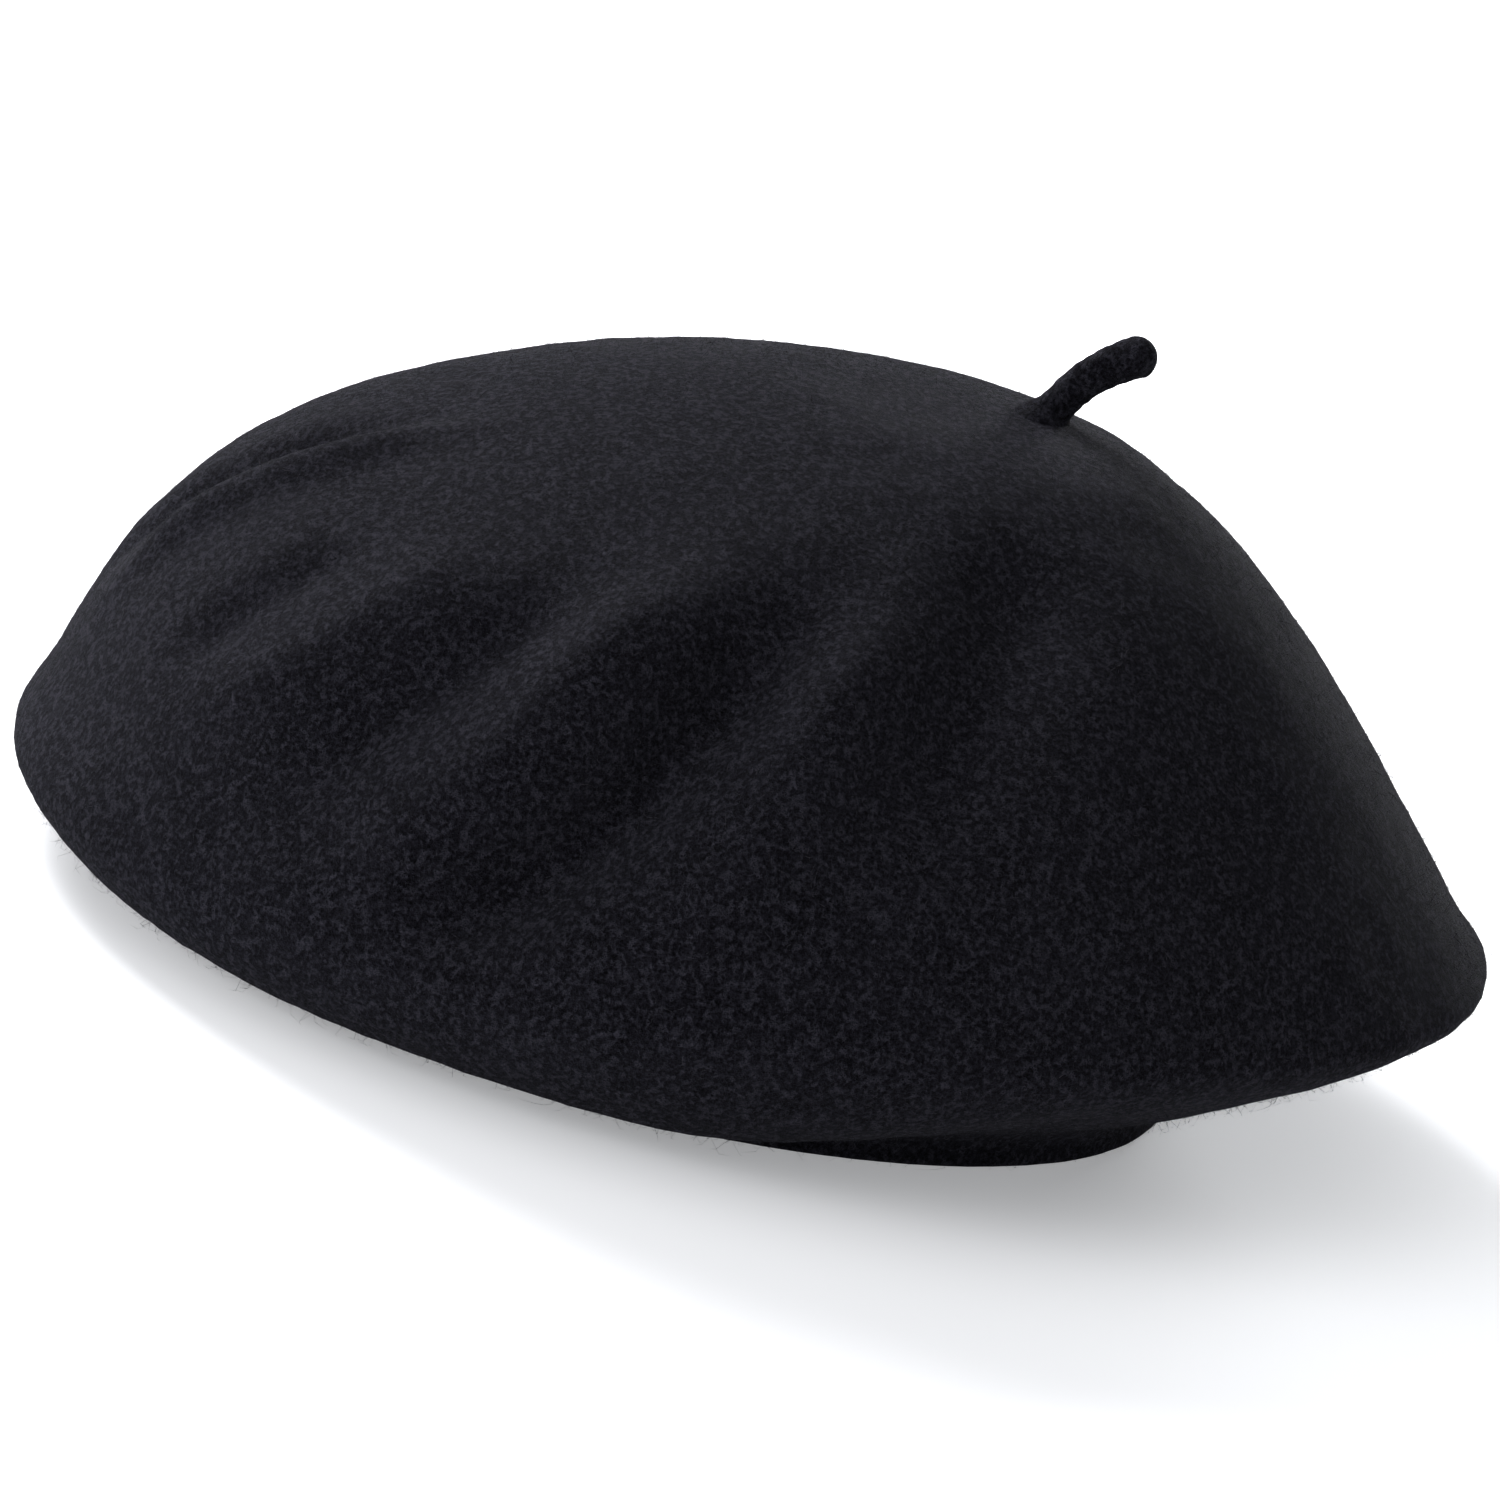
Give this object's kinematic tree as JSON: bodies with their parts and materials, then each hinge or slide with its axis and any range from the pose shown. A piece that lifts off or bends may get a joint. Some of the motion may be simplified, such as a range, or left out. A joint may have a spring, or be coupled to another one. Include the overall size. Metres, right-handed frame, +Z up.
{
  "type": "beret",
  "caption": "Wool felt beret with a short felt stalk, pulled forward and slumped back, standing on its hem, with a ribbon sweatband, bow and satin lining.",
  "frame": {"origin": "centre of the head opening, in the plane of the hem", "axes": "+Z up out of the crown, -Y towards the forehead, +X towards the wearer's left"},
  "size_m": [0.2194, 0.2661, 0.1258],
  "materials": {
    "wool_felt": "brushed wool felt, soft nap",
    "satin": "satin weave, soft sheen",
    "grosgrain": "ribbed ribbon, low sheen",
    "bow_ribbon": "ribbed ribbon, low sheen",
    "thread": "twisted thread",
    "label": "blank woven tape"
  },
  "bodies": {
    "hat": {"felt_body": "wool_felt", "stalk_root_pad": "wool_felt", "stalk_tack_stitches": "thread", "lining_side": "satin", "lining_tip": "satin", "lining_seam_stitches": "thread", "sweatband": "grosgrain", "sweatband_hem_stitches": "thread", "band_joint_stitches": "thread", "bow_loops": "bow_ribbon", "bow_tails": "bow_ribbon", "bow_knot": "bow_ribbon", "bow_stitches": "thread", "size_label": "label", "size_label_stitches": "thread", "care_label_stitches": "thread"},
    "stalk": {"stalk": "wool_felt"},
    "care_label": {"care_label": "label"}
  },
  "joints": [
    {"name": "stalk_lean", "type": "hinge", "parent": "hat", "child": "stalk", "pos_m": [-0.031, 0.049, 0.10805], "axis": [1, 0, 0], "range_deg": [-20, 70], "stiffness_Nm_per_rad": 0.002},
    {"name": "care_flap", "type": "hinge", "parent": "hat", "child": "care_label", "pos_m": [-0.07702, 0, 0.025], "axis": [0, -1, 0], "range_deg": [0, 100]}
  ]
}
